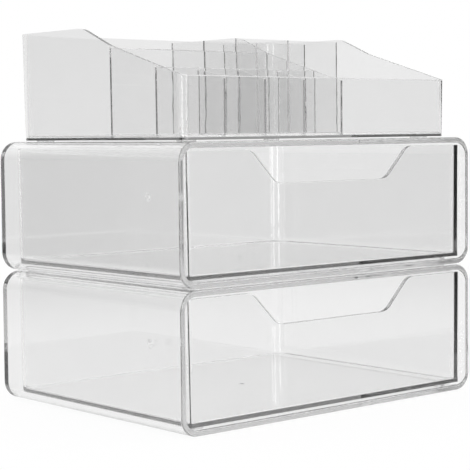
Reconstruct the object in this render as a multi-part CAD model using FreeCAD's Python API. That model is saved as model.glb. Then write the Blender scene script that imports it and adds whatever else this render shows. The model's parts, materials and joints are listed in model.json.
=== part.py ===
"""Clear stacking organizer: two drawer units and a compartment tray, in millimetres."""
import FreeCAD, Part
import math
import os
from FreeCAD import Vector

# Frame: X is the width, the front faces -Y, Z is up, the lowest feet stand on Z = 0.
UP = Vector(0, 0, 1)
BACKWARD = Vector(0, 1, 0)
QUARTER_TURN = math.degrees(math.pi / 2)

# Case: a rounded rectangular shell, open at the front.
CASE_WIDTH = 340.0
CASE_DEPTH = 254.0
CASE_HEIGHT = 114.8
CASE_CORNER_R = 16.3
CASE_WALL = 5.0
CASE_BACK_WALL = 4.0
CASE_RIM_R = 1.9
CASE_BACK_EDGE_R = 1.5

# Runner strips on the case floor, which carry the drawer.
RUNNER_HEIGHT = 1.7
RUNNER_WIDTH = 6.0
RUNNER_FRONT_GAP = 14.0
RUNNER_BACK_GAP = 6.0
RUNNER_DRAWER_INSET = 9.0

# Drawer: a drafted box whose front panel has a finger notch.
DRAWER_CORNER_CLEARANCE = 0.5
DRAWER_NARROWING = 1.2
DRAWER_TOP_GAP = 2.0
DRAWER_FRONT_RECESS = 3.5
DRAWER_BACK_GAP = 2.5
DRAWER_WALL = 2.5
DRAWER_FRONT_WALL = 4.2
DRAWER_FLOOR = 2.5
DRAWER_FRONT_CORNER_R = 0.4
DRAWER_BACK_CORNER_R = 14.0
DRAWER_INNER_FRONT_R = 2.0
DRAWER_FLOOR_EDGE_R = 1.8
DRAWER_RIM_R = 0.7
NOTCH_BOTTOM_HALF = 64.0
NOTCH_DEPTH = 28.0
NOTCH_SLOPE_RUN = 28.0
NOTCH_FILLET_R = 15.0
GATE_BOSS_R = 2.2
GATE_BOSS_HEIGHT = 0.4

# Clear feet, the same under both cases and under the tray.
FOOT_HEIGHT = 1.0
FOOT_R = 8.0
FOOT_EDGE = 0.3
CASE_FOOT_INSET_X = 26.0
CASE_FOOT_INSET_Y = 18.0
TRAY_FOOT_INSET = 17.0

# Tray: one moulding with dividers, its top edge following a stepped side profile.
TRAY_SIDE_GAP = 16.3
TRAY_FRONT_GAP = 14.6
TRAY_BACK_GAP = 6.6
TRAY_FLARE = 1.2
TRAY_FRONT_CORNER_R = 7.0
TRAY_BACK_CORNER_R = 16.0
TRAY_WALL = 2.3
TRAY_DIVIDER = 2.2
TRAY_FLOOR = 2.0
TRAY_HEIGHT = 94.2
TRAY_FRONT_HEIGHT = 50.4
TRAY_MIDDLE_HEIGHT = 78.1
TRAY_FLAT_Y = 146.5
TRAY_MIDDLE_Y = 108.0
TRAY_PROFILE_TOP_R = 34.0
TRAY_PROFILE_MIDDLE_R = 80.0
TRAY_DIVIDER_DROP = 2.4
TRAY_FLOOR_EDGE_R = 3.0
SMALL_COLUMNS = 7
LEFT_COLUMNS = 4
FRONT_ROW_Y = 48.8
MIDDLE_ROW_Y = 109.0
BACK_ROW_Y = (152.0, 198.0)

# How far a cutting tool reaches past the face it opens, and a raised detail reaches into its base.
OVERCUT = 4.0
EMBED = 0.5

# Distance within which two places count as one when edges are picked.
NEAR = 0.01

# Places that follow from the sizes above.
CASE_FRONT = -CASE_DEPTH / 2
CASE_BACK = CASE_DEPTH / 2
CASE_HALF = CASE_WIDTH / 2
LOWER_CASE_Z = FOOT_HEIGHT
UPPER_FEET_Z = LOWER_CASE_Z + CASE_HEIGHT
UPPER_CASE_Z = UPPER_FEET_Z + FOOT_HEIGHT
TRAY_FEET_Z = UPPER_CASE_Z + CASE_HEIGHT
TRAY_Z = TRAY_FEET_Z + FOOT_HEIGHT
DRAWER_Z = CASE_WALL + RUNNER_HEIGHT
DRAWER_HEIGHT = CASE_HEIGHT - CASE_WALL - DRAWER_TOP_GAP - DRAWER_Z
CASE_INNER_R = CASE_CORNER_R - CASE_WALL
DRAWER_HALF_TOP = CASE_HALF - CASE_CORNER_R + math.sqrt(
    (CASE_INNER_R - DRAWER_CORNER_CLEARANCE) ** 2 - (CASE_INNER_R - DRAWER_TOP_GAP) ** 2
)
DRAWER_HALF_BOTTOM = DRAWER_HALF_TOP - DRAWER_NARROWING
DRAWER_FRONT = CASE_FRONT + DRAWER_FRONT_RECESS
DRAWER_BACK = CASE_BACK - CASE_BACK_WALL - DRAWER_BACK_GAP
NOTCH_TOP_HALF = NOTCH_BOTTOM_HALF + NOTCH_SLOPE_RUN
TRAY_WIDTH = CASE_WIDTH - 2 * TRAY_SIDE_GAP
TRAY_HALF = TRAY_WIDTH / 2
TRAY_FRONT = CASE_FRONT + TRAY_FRONT_GAP
TRAY_BACK = CASE_BACK - TRAY_BACK_GAP


def rounded_wire(x0, x1, y0, y1, z, front_r, back_r):
    """Closed outline in a level plane with its own radius at the front and back corners."""
    corners = (
        (x0 + front_r, y0 + front_r, front_r, 2 * QUARTER_TURN),
        (x1 - front_r, y0 + front_r, front_r, 3 * QUARTER_TURN),
        (x1 - back_r, y1 - back_r, back_r, 0),
        (x0 + back_r, y1 - back_r, back_r, QUARTER_TURN),
    )
    arcs = []
    for x, y, r, start in corners:
        arcs.append(Part.makeCircle(r, Vector(x, y, z), UP, start, start + QUARTER_TURN))
    edges = []
    for arc, following in zip(arcs, arcs[1:] + arcs[:1]):
        start = arc.valueAt(arc.LastParameter)
        end = following.valueAt(following.FirstParameter)
        edges += [arc, Part.makeLine(start, end)]
    return Part.Wire(edges)


def edges_where(shape, test):
    """Edges whose two ends both meet the test."""
    return [edge for edge in shape.Edges if edge.Vertexes and all(test(v.Point) for v in edge.Vertexes)]


def edges_along_y(shape):
    """Straight edges that run from front to back."""
    found = []
    for edge in shape.Edges:
        start, end = (vertex.Point for vertex in edge.Vertexes)
        if abs(start.x - end.x) < NEAR and abs(start.z - end.z) < NEAR:
            found.append(edge)
    return found


def tube_block(half_width, height, radius, y0, depth, z0):
    """Block along Y whose four long edges are rounded."""
    block = Part.makeBox(2 * half_width, depth, height, Vector(-half_width, y0, z0))
    return block.makeFillet(radius, edges_along_y(block))


def make_case(z0):
    """Shell open at the front, with a bullnose rim and two runner strips."""
    outer = tube_block(CASE_HALF, CASE_HEIGHT, CASE_CORNER_R, CASE_FRONT, CASE_DEPTH, z0)
    back_edges = edges_where(outer, lambda p: abs(p.y - CASE_BACK) < NEAR)
    outer = outer.makeFillet(CASE_BACK_EDGE_R, back_edges)
    hollow = tube_block(
        CASE_HALF - CASE_WALL,
        CASE_HEIGHT - 2 * CASE_WALL,
        CASE_INNER_R,
        CASE_FRONT - OVERCUT,
        CASE_DEPTH - CASE_BACK_WALL + OVERCUT,
        z0 + CASE_WALL,
    )
    shell = outer.cut(hollow)
    rim = edges_where(shell, lambda p: abs(p.y - CASE_FRONT) < NEAR)
    shell = shell.makeFillet(CASE_RIM_R, rim)
    length = CASE_DEPTH - CASE_BACK_WALL - RUNNER_FRONT_GAP - RUNNER_BACK_GAP
    for side in (-1, 1):
        middle = side * (DRAWER_HALF_BOTTOM - RUNNER_DRAWER_INSET)
        corner = Vector(middle - RUNNER_WIDTH / 2, CASE_FRONT + RUNNER_FRONT_GAP, z0 + CASE_WALL - EMBED)
        shell = shell.fuse(Part.makeBox(RUNNER_WIDTH, length, RUNNER_HEIGHT + EMBED, corner))
    return shell.removeSplitter()


def notch_tool(top_z):
    """Trapezoid prism, wide at the top, which cuts the finger notch."""
    bottom_z = top_z - NOTCH_DEPTH
    lip_half = NOTCH_TOP_HALF + OVERCUT * NOTCH_SLOPE_RUN / NOTCH_DEPTH
    y0 = DRAWER_FRONT - OVERCUT
    outline = [
        Vector(-NOTCH_BOTTOM_HALF, y0, bottom_z),
        Vector(NOTCH_BOTTOM_HALF, y0, bottom_z),
        Vector(lip_half, y0, top_z + OVERCUT),
        Vector(-lip_half, y0, top_z + OVERCUT),
    ]
    face = Part.Face(Part.makePolygon(outline + outline[:1]))
    return face.extrude(BACKWARD * (DRAWER_FRONT_WALL + 2 * OVERCUT))


def make_drawer(case_z):
    """Drafted open box whose flat front panel is cut by the finger notch."""
    z0 = case_z + DRAWER_Z
    z1 = z0 + DRAWER_HEIGHT
    floor_z = z0 + DRAWER_FLOOR
    floor_half = DRAWER_HALF_BOTTOM + DRAWER_NARROWING * DRAWER_FLOOR / DRAWER_HEIGHT
    back_inner_r = DRAWER_BACK_CORNER_R - DRAWER_WALL

    def outline(half, z):
        return rounded_wire(
            -half, half, DRAWER_FRONT, DRAWER_BACK, z, DRAWER_FRONT_CORNER_R, DRAWER_BACK_CORNER_R
        )

    def inline(half, z):
        return rounded_wire(
            -half + DRAWER_WALL,
            half - DRAWER_WALL,
            DRAWER_FRONT + DRAWER_FRONT_WALL,
            DRAWER_BACK - DRAWER_WALL,
            z,
            DRAWER_INNER_FRONT_R,
            back_inner_r,
        )

    outer = Part.makeLoft([outline(DRAWER_HALF_BOTTOM, z0), outline(DRAWER_HALF_TOP, z1)], True, True)
    inner = Part.makeLoft([inline(floor_half, floor_z), inline(DRAWER_HALF_TOP, z1)], True, True)
    inner = inner.makeFillet(DRAWER_FLOOR_EDGE_R, edges_where(inner, lambda p: p.z < floor_z + NEAR))
    lid = Part.Face(inline(DRAWER_HALF_TOP, z1)).extrude(UP * OVERCUT)
    box = outer.cut(inner.fuse(lid)).cut(notch_tool(z1)).removeSplitter()
    notch_z = z1 - NOTCH_DEPTH
    notch_corners = []
    for edge in edges_along_y(box):
        place = edge.Vertexes[0].Point
        if abs(place.x) < NOTCH_TOP_HALF + NEAR and place.z > notch_z - NEAR:
            notch_corners.append(edge)
    box = box.makeFillet(NOTCH_FILLET_R, notch_corners)
    rim = edges_where(box, lambda p: p.z > notch_z - NEAR)
    box = box.makeFillet(DRAWER_RIM_R, rim)
    middle_y = (DRAWER_FRONT + DRAWER_BACK) / 2
    boss = Part.makeCylinder(GATE_BOSS_R, GATE_BOSS_HEIGHT + EMBED, Vector(0, middle_y, floor_z - EMBED))
    return box.fuse(boss).removeSplitter()


def make_foot(x, y, z0):
    """Round foot with a broken lower and upper edge."""
    disc = Part.makeCylinder(FOOT_R, FOOT_HEIGHT, Vector(x, y, z0))
    return disc.makeChamfer(FOOT_EDGE, [e for e in disc.Edges if e.isClosed()])


def foot_places(half_x, y0, y1, inset_x, inset_y):
    """Names and centres of the four feet of one body."""
    places = {}
    for side, x in (("left", -half_x + inset_x), ("right", half_x - inset_x)):
        places["front_" + side] = (x, y0 + inset_y)
        places["back_" + side] = (x, y1 - inset_y)
    return places


def profile_prism(half_width, drop):
    """Everything under the side profile, lowered by drop, as wide as asked."""
    front = TRAY_FRONT - TRAY_FLARE - OVERCUT
    back = TRAY_BACK + TRAY_FLARE + OVERCUT
    step = (TRAY_MIDDLE_HEIGHT - TRAY_FRONT_HEIGHT) / (TRAY_MIDDLE_Y - TRAY_FRONT_GAP)
    front_z = TRAY_FRONT_HEIGHT - step * (TRAY_FRONT - front)
    x0 = -half_width
    points = [
        Vector(x0, front, TRAY_Z - OVERCUT),
        Vector(x0, front, TRAY_Z + front_z - drop),
        Vector(x0, CASE_FRONT + TRAY_MIDDLE_Y, TRAY_Z + TRAY_MIDDLE_HEIGHT - drop),
        Vector(x0, CASE_FRONT + TRAY_FLAT_Y, TRAY_Z + TRAY_HEIGHT - drop),
        Vector(x0, back, TRAY_Z + TRAY_HEIGHT - drop),
        Vector(x0, back, TRAY_Z - OVERCUT),
    ]
    prism = Part.Face(Part.makePolygon(points + points[:1])).extrude(Vector(2 * half_width, 0, 0))
    for y, radius in ((TRAY_FLAT_Y, TRAY_PROFILE_TOP_R), (TRAY_MIDDLE_Y, TRAY_PROFILE_MIDDLE_R)):
        ridge = edges_where(prism, lambda p: abs(p.y - CASE_FRONT - y) < NEAR)
        prism = prism.makeFillet(radius, ridge)
    return prism


def pocket(x0, x1, y0, y1):
    """Compartment space with a rounded floor edge."""
    z0 = TRAY_Z + TRAY_FLOOR
    block = Part.makeBox(x1 - x0, y1 - y0, TRAY_HEIGHT + OVERCUT, Vector(x0, y0, z0))
    return block.makeFillet(TRAY_FLOOR_EDGE_R, edges_where(block, lambda p: p.z < z0 + NEAR))


def compartments():
    """Compartment outlines as (x0, x1, y0, y1), between walls and divider centre lines."""
    half = TRAY_DIVIDER / 2
    left = -TRAY_HALF + TRAY_WALL
    right = TRAY_HALF - TRAY_WALL
    near = TRAY_FRONT + TRAY_WALL
    far = TRAY_BACK - TRAY_WALL
    columns = [-TRAY_HALF + TRAY_WIDTH * n / SMALL_COLUMNS for n in range(1, LEFT_COLUMNS + 1)]
    split = columns[-1]
    front_row = CASE_FRONT + FRONT_ROW_Y
    middle_row = CASE_FRONT + MIDDLE_ROW_Y
    back_rows = [CASE_FRONT + y for y in BACK_ROW_Y]
    spaces = []
    starts = [left] + [x + half for x in columns[:-1]]
    for start, end in zip(starts, columns):
        spaces.append((start, end - half, near, front_row - half))
    spaces.append((left, split - half, front_row + half, middle_row - half))
    spaces.append((left, split - half, middle_row + half, far))
    spaces.append((split + half, right, near, back_rows[0] - half))
    centre = (split + TRAY_HALF) / 2
    for y0, y1 in ((back_rows[0] + half, back_rows[1] - half), (back_rows[1] + half, far)):
        spaces.append((split + half, centre - half, y0, y1))
        spaces.append((centre + half, right, y0, y1))
    return spaces


def make_tray():
    """Moulded tray: drafted outside, pockets inside, dividers a little lower than the walls."""
    def outline(grow, z):
        x = TRAY_HALF + grow
        return rounded_wire(
            -x, x, TRAY_FRONT - grow, TRAY_BACK + grow, z, TRAY_FRONT_CORNER_R, TRAY_BACK_CORNER_R
        )

    body = Part.makeLoft([outline(0, TRAY_Z), outline(TRAY_FLARE, TRAY_Z + TRAY_HEIGHT)], True, True)
    body = body.common(profile_prism(TRAY_HALF + TRAY_FLARE + OVERCUT, 0))
    inside = rounded_wire(
        -TRAY_HALF + TRAY_WALL,
        TRAY_HALF - TRAY_WALL,
        TRAY_FRONT + TRAY_WALL,
        TRAY_BACK - TRAY_WALL,
        TRAY_Z + TRAY_FLOOR,
        TRAY_FRONT_CORNER_R - TRAY_WALL,
        TRAY_BACK_CORNER_R - TRAY_WALL,
    )
    space = Part.Face(inside).extrude(UP * (TRAY_HEIGHT + OVERCUT))
    body = body.cut(space.cut(profile_prism(TRAY_HALF, TRAY_DIVIDER_DROP)))
    for x0, x1, y0, y1 in compartments():
        body = body.cut(pocket(x0, x1, y0, y1).common(space))
    return body.removeSplitter()


def single_solid(shape):
    """The one solid of a shape, or an error."""
    if len(shape.Solids) != 1 or not shape.isValid():
        raise ValueError("expected one valid solid")
    return shape.Solids[0]


def build():
    """All pieces by name."""
    pieces = {
        "lower_case": make_case(LOWER_CASE_Z),
        "lower_drawer": make_drawer(LOWER_CASE_Z),
        "upper_case": make_case(UPPER_CASE_Z),
        "upper_drawer": make_drawer(UPPER_CASE_Z),
        "tray": make_tray(),
    }
    case_feet = foot_places(CASE_HALF, CASE_FRONT, CASE_BACK, CASE_FOOT_INSET_X, CASE_FOOT_INSET_Y)
    tray_feet = foot_places(TRAY_HALF, TRAY_FRONT, TRAY_BACK, TRAY_FOOT_INSET, TRAY_FOOT_INSET)
    for body, places, z0 in (
        ("lower", case_feet, 0.0),
        ("upper", case_feet, UPPER_FEET_Z),
        ("tray", tray_feet, TRAY_FEET_Z),
    ):
        for place, (x, y) in places.items():
            pieces[body + "_foot_" + place] = make_foot(x, y, z0)
    return pieces


os.makedirs("parts", exist_ok=True)
for name, shape in build().items():
    single_solid(shape).exportStep(os.path.join("parts", name + ".step"))
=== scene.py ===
"""Clear stacking makeup organizer: two drawer units and a compartment tray in a pale studio."""
import json
import math

import bmesh
import bpy
from mathutils import Matrix, Vector


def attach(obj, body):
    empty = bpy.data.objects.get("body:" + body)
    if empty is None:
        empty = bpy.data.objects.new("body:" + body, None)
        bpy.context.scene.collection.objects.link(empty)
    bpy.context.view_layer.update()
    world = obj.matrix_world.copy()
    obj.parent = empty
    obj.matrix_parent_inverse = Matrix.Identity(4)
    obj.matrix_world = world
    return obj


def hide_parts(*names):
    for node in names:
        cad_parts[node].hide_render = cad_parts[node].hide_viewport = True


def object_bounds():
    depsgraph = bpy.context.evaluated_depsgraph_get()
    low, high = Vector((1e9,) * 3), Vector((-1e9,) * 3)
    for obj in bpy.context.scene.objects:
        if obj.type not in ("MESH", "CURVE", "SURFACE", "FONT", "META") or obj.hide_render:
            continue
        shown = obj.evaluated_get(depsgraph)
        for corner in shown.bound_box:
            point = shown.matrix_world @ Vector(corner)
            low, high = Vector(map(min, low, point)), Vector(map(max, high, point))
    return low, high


bl_info = {
    "name": "Clear Makeup Organizer",
    "version": (1, 0, 0),
    "blender": (4, 5, 0),
    "location": "View3D > Sidebar > Organizer",
    "description": "Finishes a clear drawer organizer and lights it in a pale studio",
    "category": "Object",
}

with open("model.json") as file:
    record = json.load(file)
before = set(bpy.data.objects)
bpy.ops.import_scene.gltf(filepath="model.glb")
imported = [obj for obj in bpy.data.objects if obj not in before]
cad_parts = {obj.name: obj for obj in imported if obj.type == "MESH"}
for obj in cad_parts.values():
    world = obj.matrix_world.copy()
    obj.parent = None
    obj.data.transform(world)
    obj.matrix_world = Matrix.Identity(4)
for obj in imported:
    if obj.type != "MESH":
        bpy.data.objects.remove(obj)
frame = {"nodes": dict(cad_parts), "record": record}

MM = 0.001
MERGE_DISTANCE = 0.002 * MM
FLAT_ANGLE = math.radians(0.05)
FLOOR_DROP = 0.2 * MM
SENSOR_WIDTH = 36.0
VIEW_NEAR = 0.05
VIEW_FAR = 100.0
HAZE_DETAIL = 6.0
EVEN_SHADE_WEIGHT = 100
CASE_NODES = ("lower_case", "upper_case")
DRAWER_NODES = ("lower_drawer", "upper_drawer")
TRAY_NODE = "tray"
NODE_BODY = {
    node: body for body, nodes in frame["record"]["behaviour"]["bodies"].items() for node in nodes
}
FOOT_NODES = tuple(sorted(node for node in NODE_BODY if "_foot_" in node))
CAD_LOW, CAD_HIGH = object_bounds()


class PlasticSettings(bpy.types.PropertyGroup):
    """Clear moulded plastic."""

    tint: bpy.props.FloatVectorProperty(
        name="Tint", description="Colour of the plastic itself", subtype="COLOR",
        size=3, min=0.0, max=1.0, default=(0.997, 0.997, 0.997),
    )
    haze_tint_share: bpy.props.FloatProperty(
        name="Haze tint share", description="Part of the tint that the haziest spots keep",
        min=0.0, max=1.0, default=0.985,
    )
    haze_scale: bpy.props.FloatProperty(
        name="Haze scale", description="How fine the faint haze is", min=0.0, default=38.0,
    )
    haze_band: bpy.props.FloatVectorProperty(
        name="Haze band", description="Noise values between which the haze rises", size=2,
        default=(0.45, 0.8),
    )
    polished_haze: bpy.props.FloatVectorProperty(
        name="Polished haze", description="Least and most roughness of the polished faces",
        size=2, min=0.0, max=1.0, default=(0.0, 0.03),
    )
    foot_haze: bpy.props.FloatVectorProperty(
        name="Foot haze", description="Least and most roughness of the feet", size=2,
        min=0.0, max=1.0, default=(0.15, 0.3),
    )
    depth_tint: bpy.props.FloatVectorProperty(
        name="Depth tint", description="Colour that is left after a long way through the plastic",
        subtype="COLOR", size=3, min=0.0, max=1.0, default=(0.5, 0.5, 0.5),
    )
    case_density: bpy.props.FloatProperty(
        name="Case density", description="How fast long ways through a case darken",
        min=0.0, default=3.0,
    )
    drawer_density: bpy.props.FloatProperty(
        name="Drawer density", description="How fast long ways through a drawer darken",
        min=0.0, default=10.5,
    )
    tray_density: bpy.props.FloatProperty(
        name="Tray density", description="How fast long ways through the tray darken",
        min=0.0, default=8.0,
    )
    ior: bpy.props.FloatProperty(
        name="Index of refraction", description="Bending of light at the surface",
        min=1.0, max=2.0, default=1.5,
    )
    wave_height_share: bpy.props.FloatProperty(
        name="Wave height share", description="Upright scale of the waves beside the level one",
        min=0.0, default=0.55,
    )
    wave_detail: bpy.props.FloatProperty(
        name="Wave detail", description="Finer waves upon the waves", min=0.0, default=1.5,
    )
    wave_roughness: bpy.props.FloatProperty(
        name="Wave roughness", description="Strength of the finer waves", min=0.0, max=1.0,
        default=0.35,
    )
    flat_wave_size: bpy.props.FloatProperty(
        name="Flat wave size", description="Width of the slow waves in the cases and drawers",
        unit="LENGTH", min=0.001, default=0.045,
    )
    flat_wave_depth: bpy.props.FloatProperty(
        name="Flat wave depth", description="Depth of the slow waves in the cases and drawers",
        unit="LENGTH", min=0.0, default=0.00002,
    )
    tray_wave_size: bpy.props.FloatProperty(
        name="Tray wave size", description="Width of the ripples in the tray",
        unit="LENGTH", min=0.001, default=0.012,
    )
    tray_wave_depth: bpy.props.FloatProperty(
        name="Tray wave depth", description="Depth of the ripples in the tray",
        unit="LENGTH", min=0.0, default=0.00004,
    )
    gate_share: bpy.props.FloatVectorProperty(
        name="Gate place", description="Gate mark on a case's left side, as shares of its depth "
        "and height", size=2, default=(0.156, 0.62),
    )
    gate_radius: bpy.props.FloatProperty(
        name="Gate radius", description="Radius of the gate mark", unit="LENGTH", default=0.0045,
    )
    gate_depth: bpy.props.FloatProperty(
        name="Gate depth", description="Depth of the gate mark", unit="LENGTH", default=0.001,
    )
    air_film: bpy.props.FloatProperty(
        name="Air film", description="Film of air between pieces that touch", unit="LENGTH",
        min=0.0, default=0.00003,
    )
    smooth_limit: bpy.props.FloatProperty(
        name="Smooth limit", description="Edges that turn more than this stay crisp",
        subtype="ANGLE", default=math.radians(28.0),
    )


class StageSettings(bpy.types.PropertyGroup):
    """Studio, lamps and camera."""

    backdrop: bpy.props.FloatVectorProperty(
        name="Backdrop", description="Colour of the floor and the far wall", subtype="COLOR",
        size=3, min=0.0, max=1.0, default=(1.0, 1.0, 1.0),
    )
    screen_edge: bpy.props.FloatProperty(
        name="Screen edge", description="Cosine from the camera's heading where a screen ends",
        default=0.6,
    )
    flag_edge: bpy.props.FloatProperty(
        name="Flag edge", description="Cosine from the camera's heading where a flag begins",
        default=0.3,
    )
    screen_glow: bpy.props.FloatProperty(
        name="Screen glow", description="Brightness of the screens that the clear walls show",
        min=0.0, max=1.0, default=0.895,
    )
    flag_glow: bpy.props.FloatProperty(
        name="Flag glow", description="Brightness of the grey flags at both sides",
        min=0.0, max=1.0, default=0.29,
    )
    flag_top: bpy.props.FloatProperty(
        name="Flag top", description="Sine of the height where screens and flags end",
        default=0.12,
    )
    ceiling_start: bpy.props.FloatProperty(
        name="Ceiling start", description="Sine of the height where the ceiling begins",
        default=0.6,
    )
    ceiling_glow: bpy.props.FloatProperty(
        name="Ceiling glow", description="Brightness of the ceiling", min=0.0, max=1.0,
        default=1.0,
    )
    # The floor's painted glow as the clear walls show it: a painted pool of light by the
    # organizer, painted flag shade far off
    near_floor_glow: bpy.props.FloatProperty(
        name="Near floor glow", description="Brightness of the floor by the organizer, as the "
        "clear walls show it", min=0.0, max=1.0, default=0.91,
    )
    near_floor_radius: bpy.props.FloatProperty(
        name="Near floor radius", description="Distance where the floor begins to darken",
        unit="LENGTH", default=0.3,
    )
    far_floor_radius: bpy.props.FloatProperty(
        name="Far floor radius", description="Distance from which the floor is at its darkest",
        unit="LENGTH", default=1.5,
    )
    floor_glow_share: bpy.props.FloatProperty(
        name="Floor glow share", description="Part of the floor that shines evenly, the rest "
        "takes the shadow", min=0.0, max=1.0, default=0.95,
    )
    floor_colour: bpy.props.FloatVectorProperty(
        name="Floor colour", description="Colour of the part of the floor that takes the shadow",
        subtype="COLOR", size=3, min=0.0, max=1.0, default=(0.9, 0.9, 0.9),
    )
    floor_size: bpy.props.FloatProperty(
        name="Floor size", description="Side of the square floor", unit="LENGTH", default=30.0,
    )
    left_softbox_place: bpy.props.FloatVectorProperty(
        name="Left softbox place", description="Where the left softbox stands",
        subtype="TRANSLATION", size=3, default=(-2.2, 0.2, 1.6),
    )
    left_softbox_power: bpy.props.FloatProperty(
        name="Left softbox power", description="Power of the left softbox",
        unit="POWER", min=0.0, default=14.0,
    )
    right_softbox_place: bpy.props.FloatVectorProperty(
        name="Right softbox place", description="Where the right softbox stands",
        subtype="TRANSLATION", size=3, default=(1.8, -1.8, 1.9),
    )
    right_softbox_power: bpy.props.FloatProperty(
        name="Right softbox power", description="Power of the right softbox",
        unit="POWER", min=0.0, default=12.0,
    )
    left_strip_place: bpy.props.FloatVectorProperty(
        name="Left strip place", description="Where the upright lamp at the left stands",
        subtype="TRANSLATION", size=3, default=(-1.75, -0.97, 0.5),
    )
    left_strip_power: bpy.props.FloatProperty(
        name="Left strip power", description="Power of the upright lamp at the left",
        unit="POWER", min=0.0, default=6.0,
    )
    right_strip_place: bpy.props.FloatVectorProperty(
        name="Right strip place", description="Where the upright lamp at the right stands",
        subtype="TRANSLATION", size=3, default=(-0.28, -1.98, 0.5),
    )
    right_strip_power: bpy.props.FloatProperty(
        name="Right strip power", description="Power of the upright lamp at the right",
        unit="POWER", min=0.0, default=5.0,
    )
    softbox_size: bpy.props.FloatVectorProperty(
        name="Softbox size", description="Width and height of the softboxes",
        unit="LENGTH", size=2, default=(1.4, 1.4),
    )
    strip_size: bpy.props.FloatVectorProperty(
        name="Strip size", description="Width and height of the strip lamps",
        unit="LENGTH", size=2, default=(0.5, 1.0),
    )
    light_bounces: bpy.props.IntProperty(
        name="Light bounces", description="Turns that a ray may take inside the clear walls",
        min=8, default=200,
    )
    camera_place: bpy.props.FloatVectorProperty(
        name="Camera place", description="Where the camera stands", subtype="TRANSLATION",
        size=3, default=(-0.90306, -1.03438, 0.2396),
    )
    camera_heading: bpy.props.FloatProperty(
        name="Heading", description="Turn of the view from straight ahead to the right",
        subtype="ANGLE", default=math.radians(41.0244),
    )
    camera_pitch: bpy.props.FloatProperty(
        name="Pitch", description="How far the camera looks down", subtype="ANGLE",
        default=math.radians(3.0456),
    )
    camera_roll: bpy.props.FloatProperty(
        name="Roll", description="Tilt of the horizon", subtype="ANGLE",
        default=math.radians(-0.611),
    )
    camera_lens: bpy.props.FloatProperty(
        name="Lens", description="Focal length for a 36 mm wide sensor", subtype="DISTANCE_CAMERA",
        default=116.491,
    )
    camera_shift: bpy.props.FloatProperty(
        name="Shift", description="Upward shift of the lens", default=-0.05,
    )


def new_tree(owner):
    """Empties the node tree of a material or world and returns it with two short helpers."""
    owner.use_nodes = True
    tree = owner.node_tree
    tree.nodes.clear()

    def add(kind, **values):
        node = tree.nodes.new(kind)
        for key, value in values.items():
            setattr(node, key, value)
        return node

    return tree, add, tree.links.new


def clear_plastic(name, density, waves, haze, gate_marks=()):
    """Clear plastic with waves of a size and depth, faint haze, a grey depth and gate dimples."""
    look = bpy.context.scene.organizer_plastic
    material = bpy.data.materials.new(name)
    tree, add, link = new_tree(material)
    place = add("ShaderNodeTexCoord")
    stretch = add("ShaderNodeMapping")
    stretch.inputs["Scale"].default_value = (1.0, 1.0, look.wave_height_share)
    link(place.outputs["Object"], stretch.inputs["Vector"])

    wave_size, wave_depth = waves
    wave_noise = add("ShaderNodeTexNoise")
    wave_noise.inputs["Scale"].default_value = 1.0 / wave_size
    wave_noise.inputs["Detail"].default_value = look.wave_detail
    wave_noise.inputs["Roughness"].default_value = look.wave_roughness
    link(stretch.outputs["Vector"], wave_noise.inputs["Vector"])
    relief = add("ShaderNodeMath", operation="MULTIPLY")
    relief.inputs[1].default_value = wave_depth
    link(wave_noise.outputs["Fac"], relief.inputs[0])
    for centre in gate_marks:
        reach = add("ShaderNodeVectorMath", operation="DISTANCE")
        reach.inputs[1].default_value = centre
        link(place.outputs["Object"], reach.inputs[0])
        dimple = add("ShaderNodeMapRange", interpolation_type="SMOOTHSTEP")
        dimple.inputs["From Max"].default_value = look.gate_radius
        dimple.inputs["To Min"].default_value = -look.gate_depth
        dimple.inputs["To Max"].default_value = 0.0
        link(reach.outputs["Value"], dimple.inputs["Value"])
        total = add("ShaderNodeMath", operation="ADD")
        link(relief.outputs[0], total.inputs[0])
        link(dimple.outputs["Result"], total.inputs[1])
        relief = total
    bump = add("ShaderNodeBump")
    bump.inputs["Strength"].default_value = 1.0
    bump.inputs["Distance"].default_value = 1.0
    link(relief.outputs[0], bump.inputs["Height"])

    haze_noise = add("ShaderNodeTexNoise")
    haze_noise.inputs["Scale"].default_value = look.haze_scale
    haze_noise.inputs["Detail"].default_value = HAZE_DETAIL
    link(place.outputs["Object"], haze_noise.inputs["Vector"])
    haze_range = add("ShaderNodeMapRange")
    haze_range.inputs["From Min"].default_value = look.haze_band[0]
    haze_range.inputs["From Max"].default_value = look.haze_band[1]
    haze_range.inputs["To Min"].default_value = haze[0]
    haze_range.inputs["To Max"].default_value = haze[1]
    link(haze_noise.outputs["Fac"], haze_range.inputs["Value"])

    tint = add("ShaderNodeMix", data_type="RGBA")
    tint.inputs["A"].default_value = (*look.tint, 1.0)
    tint.inputs["B"].default_value = (*[c * look.haze_tint_share for c in look.tint], 1.0)
    link(haze_noise.outputs["Fac"], tint.inputs["Factor"])

    surface = add("ShaderNodeBsdfPrincipled")
    surface.inputs["IOR"].default_value = look.ior
    surface.inputs["Transmission Weight"].default_value = 1.0
    link(tint.outputs["Result"], surface.inputs["Base Color"])
    link(haze_range.outputs["Result"], surface.inputs["Roughness"])
    link(bump.outputs["Normal"], surface.inputs["Normal"])

    depth = add("ShaderNodeVolumeAbsorption")
    depth.inputs["Color"].default_value = (*look.depth_tint, 1.0)
    depth.inputs["Density"].default_value = density
    out = add("ShaderNodeOutputMaterial")
    link(surface.outputs["BSDF"], out.inputs["Surface"])
    link(depth.outputs["Volume"], out.inputs["Volume"])
    return material


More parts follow.
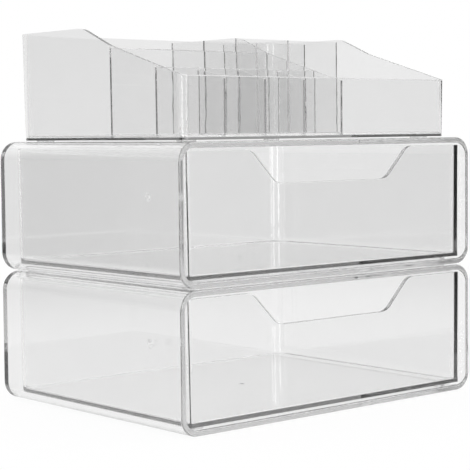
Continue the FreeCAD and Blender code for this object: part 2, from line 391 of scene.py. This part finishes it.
def polished_copy(node, material):
    """A merged copy of a solid's mesh, smooth over its rounds and flat over its walls."""
    look = bpy.context.scene.organizer_plastic
    mesh = bpy.data.meshes.new(node + "_clear")
    work = bmesh.new()
    work.from_mesh(frame["nodes"][node].data)
    bmesh.ops.remove_doubles(work, verts=work.verts, dist=MERGE_DISTANCE)
    bmesh.ops.dissolve_limit(
        work, angle_limit=FLAT_ANGLE, use_dissolve_boundaries=False,
        verts=work.verts, edges=work.edges,
    )
    work.normal_update()
    for vert, inward in [(vert, -vert.normal * look.air_film / 2) for vert in work.verts]:
        vert.co += inward
    for edge in work.edges:
        edge.smooth = len(edge.link_faces) == 2 and edge.calc_face_angle() < look.smooth_limit
    for face in work.faces:
        face.smooth = True
        face.material_index = 0
    work.to_mesh(mesh)
    work.free()
    piece = bpy.data.objects.new(node + "_clear", mesh)
    bpy.context.scene.collection.objects.link(piece)
    mesh.materials.append(material)
    even = piece.modifiers.new("even_shade", "WEIGHTED_NORMAL")
    even.weight = EVEN_SHADE_WEIGHT
    even.keep_sharp = True
    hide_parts(node)
    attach(piece, NODE_BODY[node])


def case_gate(look, node):
    """Place of the gate mark on the left side of a case."""
    corners = [Vector(corner) for corner in frame["nodes"][node].bound_box]
    low, high = corners[0], corners[6]
    share_y, share_z = look.gate_share
    return Vector((low.x, low.y + share_y * (high.y - low.y), low.z + share_z * (high.z - low.z)))


class ORGANIZER_OT_cases(bpy.types.Operator):
    """Finish the clear case shells"""

    bl_idname = "organizer.cases"
    bl_label = "Case Shells"

    def execute(self, context):
        look = context.scene.organizer_plastic
        plastic = clear_plastic(
            "clear_case_plastic", look.case_density, (look.flat_wave_size, look.flat_wave_depth),
            look.polished_haze, [case_gate(look, node) for node in CASE_NODES],
        )
        for node in CASE_NODES:
            polished_copy(node, plastic)
        return {"FINISHED"}


class ORGANIZER_OT_drawers(bpy.types.Operator):
    """Finish the clear drawers"""

    bl_idname = "organizer.drawers"
    bl_label = "Drawers"

    def execute(self, context):
        look = context.scene.organizer_plastic
        plastic = clear_plastic(
            "clear_drawer_plastic", look.drawer_density,
            (look.flat_wave_size, look.flat_wave_depth), look.polished_haze,
        )
        for node in DRAWER_NODES:
            polished_copy(node, plastic)
        return {"FINISHED"}


class ORGANIZER_OT_tray(bpy.types.Operator):
    """Finish the compartment tray"""

    bl_idname = "organizer.tray"
    bl_label = "Tray"

    def execute(self, context):
        look = context.scene.organizer_plastic
        plastic = clear_plastic(
            "clear_tray_plastic", look.tray_density, (look.tray_wave_size, look.tray_wave_depth),
            look.polished_haze,
        )
        polished_copy(TRAY_NODE, plastic)
        return {"FINISHED"}


class ORGANIZER_OT_feet(bpy.types.Operator):
    """Finish the clear feet"""

    bl_idname = "organizer.feet"
    bl_label = "Feet"

    def execute(self, context):
        look = context.scene.organizer_plastic
        plastic = clear_plastic(
            "clear_foot_plastic", look.case_density, (look.flat_wave_size, look.flat_wave_depth),
            look.foot_haze,
        )
        for node in FOOT_NODES:
            polished_copy(node, plastic)
        return {"FINISHED"}


def screen_factor(stage, add, link, direction):
    """One towards the screens behind the organizer and the camera, zero towards the flags."""
    away = -Vector(stage.camera_place)
    away.z = 0.0
    away.normalize()
    facing = add("ShaderNodeVectorMath", operation="DOT_PRODUCT")
    facing.inputs[1].default_value = away
    link(direction, facing.inputs[0])
    either_way = add("ShaderNodeMath", operation="ABSOLUTE")
    link(facing.outputs["Value"], either_way.inputs[0])
    share = add("ShaderNodeMapRange", interpolation_type="SMOOTHSTEP")
    share.inputs["From Min"].default_value = stage.flag_edge
    share.inputs["From Max"].default_value = stage.screen_edge
    link(either_way.outputs[0], share.inputs["Value"])
    return share.outputs["Result"]


def make_floor(stage):
    """Pale floor that glows, though it is no lamp. The camera sees it evenly in the backdrop's
    colour. The clear walls see a painted pool of glow by the organizer that fades to painted grey
    flag shade farther off. A small part still takes a little real shadow.
    """
    mesh = bpy.data.meshes.new("floor")
    work = bmesh.new()
    bmesh.ops.create_grid(work, x_segments=1, y_segments=1, size=stage.floor_size / 2)
    bmesh.ops.translate(work, verts=work.verts, vec=(0.0, 0.0, -FLOOR_DROP))
    work.to_mesh(mesh)
    work.free()
    floor = bpy.data.objects.new("floor", mesh)
    bpy.context.scene.collection.objects.link(floor)
    material = bpy.data.materials.new("floor_pale")
    tree, add, link = new_tree(material)
    place = add("ShaderNodeTexCoord")
    heading = add("ShaderNodeVectorMath", operation="NORMALIZE")
    link(place.outputs["Object"], heading.inputs[0])
    # Painted glow far out on the floor, seen only in reflections and through the walls: painted
    # grey flag shade or screen brightness, by direction
    far_glow = add("ShaderNodeMix", data_type="FLOAT")
    link(screen_factor(stage, add, link, heading.outputs["Vector"]), far_glow.inputs["Factor"])
    far_glow.inputs["A"].default_value = stage.flag_glow
    far_glow.inputs["B"].default_value = stage.screen_glow
    reach = add("ShaderNodeVectorMath", operation="LENGTH")
    link(place.outputs["Object"], reach.inputs[0])
    fall = add("ShaderNodeMapRange", interpolation_type="SMOOTHSTEP")
    fall.inputs["From Min"].default_value = stage.near_floor_radius
    fall.inputs["From Max"].default_value = stage.far_floor_radius
    link(reach.outputs["Value"], fall.inputs["Value"])
    painted_floor_glow = add("ShaderNodeMix", data_type="FLOAT")
    link(fall.outputs["Result"], painted_floor_glow.inputs["Factor"])
    painted_floor_glow.inputs["A"].default_value = stage.near_floor_glow
    link(far_glow.outputs["Result"], painted_floor_glow.inputs["B"])
    path = add("ShaderNodeLightPath")
    seen_colour = add("ShaderNodeMix", data_type="RGBA")
    link(path.outputs["Is Camera Ray"], seen_colour.inputs["Factor"])
    link(painted_floor_glow.outputs["Result"], seen_colour.inputs["A"])
    seen_colour.inputs["B"].default_value = (*stage.backdrop, 1.0)

    lit = add("ShaderNodeBsdfDiffuse")
    lit.inputs["Color"].default_value = (*stage.floor_colour, 1.0)
    # The floor glows with painted light: evenly for the camera, with the painted pool and flag
    # shade for reflected and refracted rays
    glow = add("ShaderNodeEmission")
    glow.inputs["Strength"].default_value = 1.0
    link(seen_colour.outputs["Result"], glow.inputs["Color"])
    glossy = add("ShaderNodeMath", operation="MAXIMUM")
    seen = add("ShaderNodeMath", operation="MAXIMUM")
    share = add("ShaderNodeMath", operation="MULTIPLY")
    share.inputs[1].default_value = stage.floor_glow_share
    link(path.outputs["Is Glossy Ray"], glossy.inputs[0])
    link(path.outputs["Is Transmission Ray"], glossy.inputs[1])
    link(glossy.outputs[0], seen.inputs[0])
    link(path.outputs["Is Camera Ray"], seen.inputs[1])
    link(seen.outputs[0], share.inputs[0])
    mix = add("ShaderNodeMixShader")
    link(share.outputs[0], mix.inputs["Fac"])
    link(lit.outputs["BSDF"], mix.inputs[1])
    link(glow.outputs["Emission"], mix.inputs[2])
    out = add("ShaderNodeOutputMaterial")
    link(mix.outputs["Shader"], out.inputs["Surface"])
    mesh.materials.append(material)


def make_world(stage):
    """Pale screens behind the organizer and the camera, grey flags between, a bright ceiling."""
    world = bpy.data.worlds.new("studio")
    bpy.context.scene.world = world
    tree, add, link = new_tree(world)
    place = add("ShaderNodeTexCoord")
    split = add("ShaderNodeSeparateXYZ")
    link(place.outputs["Generated"], split.inputs[0])
    height = add("ShaderNodeMapRange", interpolation_type="SMOOTHSTEP")
    height.inputs["From Min"].default_value = stage.flag_top
    height.inputs["From Max"].default_value = stage.ceiling_start
    link(split.outputs["Z"], height.inputs["Value"])
    screens = screen_factor(stage, add, link, place.outputs["Generated"])
    around = add("ShaderNodeMix", data_type="RGBA")
    link(screens, around.inputs["Factor"])
    around.inputs["A"].default_value = (*[stage.flag_glow] * 3, 1.0)
    around.inputs["B"].default_value = (*[stage.screen_glow] * 3, 1.0)
    both = add("ShaderNodeMix", data_type="RGBA")
    link(height.outputs["Result"], both.inputs["Factor"])
    link(around.outputs["Result"], both.inputs["A"])
    both.inputs["B"].default_value = (*[stage.ceiling_glow] * 3, 1.0)
    path = add("ShaderNodeLightPath")
    choose = add("ShaderNodeMix", data_type="RGBA")
    link(path.outputs["Is Camera Ray"], choose.inputs["Factor"])
    link(both.outputs["Result"], choose.inputs["A"])
    choose.inputs["B"].default_value = (*stage.backdrop, 1.0)
    shine = add("ShaderNodeBackground")
    shine.inputs["Strength"].default_value = 1.0
    link(choose.outputs["Result"], shine.inputs["Color"])
    out = add("ShaderNodeOutputWorld")
    link(shine.outputs["Background"], out.inputs["Surface"])


def add_lamp(name, place, target, size, power):
    """Soft lamp aimed at a point."""
    data = bpy.data.lights.new(name, "AREA")
    data.shape = "RECTANGLE"
    data.size, data.size_y = size
    data.energy = power
    lamp = bpy.data.objects.new(name, data)
    lamp.location = place
    lamp.rotation_euler = (Vector(target) - Vector(place)).to_track_quat("-Z", "Y").to_euler()
    bpy.context.scene.collection.objects.link(lamp)


def make_camera(stage):
    """Camera from heading, pitch and roll."""
    data = bpy.data.cameras.new("camera")
    data.sensor_width = SENSOR_WIDTH
    data.lens = stage.camera_lens
    data.shift_y = stage.camera_shift
    data.clip_start = VIEW_NEAR
    data.clip_end = VIEW_FAR
    camera = bpy.data.objects.new("camera", data)
    upright = Matrix.Rotation(-stage.camera_heading, 4, "Z")
    tilted = Matrix.Rotation(math.radians(90.0) - stage.camera_pitch, 4, "X")
    rolled = Matrix.Rotation(stage.camera_roll, 4, "Z")
    camera.matrix_world = Matrix.Translation(stage.camera_place) @ upright @ tilted @ rolled
    bpy.context.scene.collection.objects.link(camera)
    bpy.context.scene.camera = camera


class ORGANIZER_OT_stage(bpy.types.Operator):
    """Set up the studio, the lamps and the camera"""

    bl_idname = "organizer.stage"
    bl_label = "Studio"

    def execute(self, context):
        stage = context.scene.organizer_stage
        make_floor(stage)
        make_world(stage)
        make_camera(stage)
        middle = (CAD_LOW + CAD_HIGH) / 2
        for kind, size in (("softbox", stage.softbox_size), ("strip", stage.strip_size)):
            for side in ("left", "right"):
                place = getattr(stage, f"{side}_{kind}_place")
                power = getattr(stage, f"{side}_{kind}_power")
                aim = middle if kind == "softbox" else Vector((0.0, 0.0, place.z))
                add_lamp(f"{kind}_{side}", place, aim, size, power)
        scene = context.scene
        scene.view_settings.view_transform = "Standard"
        scene.cycles.max_bounces = stage.light_bounces
        scene.cycles.transmission_bounces = stage.light_bounces
        scene.cycles.glossy_bounces = stage.light_bounces
        return {"FINISHED"}


class ORGANIZER_PT_panel(bpy.types.Panel):
    """Sidebar list of the organizer's steps"""

    bl_idname = "ORGANIZER_PT_panel"
    bl_label = "Clear Organizer"
    bl_space_type = "VIEW_3D"
    bl_region_type = "UI"
    bl_category = "Organizer"

    def draw(self, context):
        for operator in OPERATORS:
            self.layout.operator(operator.bl_idname)
        for settings in (context.scene.organizer_plastic, context.scene.organizer_stage):
            for name in settings.bl_rna.properties.keys():
                if name not in ("rna_type", "name"):
                    self.layout.prop(settings, name)


OPERATORS = (
    ORGANIZER_OT_cases,
    ORGANIZER_OT_drawers,
    ORGANIZER_OT_tray,
    ORGANIZER_OT_feet,
    ORGANIZER_OT_stage,
)
CLASSES = (PlasticSettings, StageSettings, *OPERATORS, ORGANIZER_PT_panel)


def register():
    for item in CLASSES:
        bpy.utils.register_class(item)
    bpy.types.Scene.organizer_plastic = bpy.props.PointerProperty(type=PlasticSettings)
    bpy.types.Scene.organizer_stage = bpy.props.PointerProperty(type=StageSettings)


def unregister():
    del bpy.types.Scene.organizer_stage
    del bpy.types.Scene.organizer_plastic
    for item in reversed(CLASSES):
        bpy.utils.unregister_class(item)


def main():
    """Makes every piece and the studio."""
    register()
    for operator in OPERATORS:
        group, name = operator.bl_idname.split(".")
        getattr(getattr(bpy.ops, group), name)()


if __name__ == "__main__":
    main()
